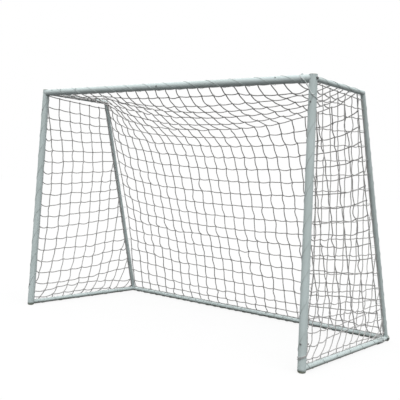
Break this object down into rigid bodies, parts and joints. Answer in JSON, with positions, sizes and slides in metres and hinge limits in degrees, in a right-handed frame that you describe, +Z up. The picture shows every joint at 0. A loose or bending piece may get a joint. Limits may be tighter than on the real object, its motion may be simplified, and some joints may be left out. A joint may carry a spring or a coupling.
{
  "type": "sports goal",
  "caption": "Free-standing small-sided football goal: round posts and crossbar, sloping rear frame and a sagging square-mesh net laced to every tube.",
  "frame": {"origin": "on the ground, under the middle of the goal's box", "axes": "+X along the crossbar to the right-hand post seen from the mouth, +Y from the mouth to the back of the net, +Z up"},
  "size_m": [3.0174, 1.4608, 2.0659],
  "materials": {
    "painted_tube": "satin light grey coating on round steel tube",
    "inner_steel": "plain zinc-coated steel, out of sight inside the tubes",
    "zinc_fastener": "dull dark zinc",
    "plastic_cap": "matt grey moulded plastic",
    "net_cord": "off-white twisted cord",
    "lacing_cord": "off-white twisted cord"
  },
  "bodies": {
    "root": {"left_post": "painted_tube", "left_post_head": "painted_tube", "left_post_foot": "painted_tube", "right_post": "painted_tube", "right_post_head": "painted_tube", "right_post_foot": "painted_tube", "crossbar_left": "painted_tube", "crossbar_right": "painted_tube", "left_top_rail": "painted_tube", "right_top_rail": "painted_tube", "left_rear_upright": "painted_tube", "right_rear_upright": "painted_tube", "left_base_rail": "painted_tube", "right_base_rail": "painted_tube", "rear_bar_left": "painted_tube", "rear_bar_right": "painted_tube", "left_upper_sleeve": "inner_steel", "left_lower_sleeve": "inner_steel", "right_upper_sleeve": "inner_steel", "right_lower_sleeve": "inner_steel", "crossbar_sleeve": "inner_steel", "rear_bar_sleeve": "inner_steel", "left_crossbar_insert": "inner_steel", "right_crossbar_insert": "inner_steel", "left_rear_bar_insert": "inner_steel", "right_rear_bar_insert": "inner_steel", "left_upper_screw": "zinc_fastener", "left_lower_screw": "zinc_fastener", "right_upper_screw": "zinc_fastener", "right_lower_screw": "zinc_fastener", "crossbar_screw": "zinc_fastener", "rear_bar_screw": "zinc_fastener", "left_crossbar_bolt": "zinc_fastener", "right_crossbar_bolt": "zinc_fastener", "left_rear_bar_bolt": "zinc_fastener", "right_rear_bar_bolt": "zinc_fastener", "left_post_cap": "plastic_cap", "right_post_cap": "plastic_cap", "left_post_plug": "plastic_cap", "right_post_plug": "plastic_cap", "left_base_rail_cap": "plastic_cap", "right_base_rail_cap": "plastic_cap", "net_roof": "net_cord", "net_back": "net_cord", "net_left": "net_cord", "net_right": "net_cord", "crossbar_lacing": "lacing_cord", "rear_bar_lacing": "lacing_cord", "left_post_lacing": "lacing_cord", "right_post_lacing": "lacing_cord", "left_top_lacing": "lacing_cord", "right_top_lacing": "lacing_cord", "left_base_lacing": "lacing_cord", "right_base_lacing": "lacing_cord", "left_upright_lacing": "lacing_cord", "right_upright_lacing": "lacing_cord", "right_upper_tie": "lacing_cord", "right_lower_tie": "lacing_cord", "right_rear_tie": "lacing_cord"}
  },
  "joints": []
}
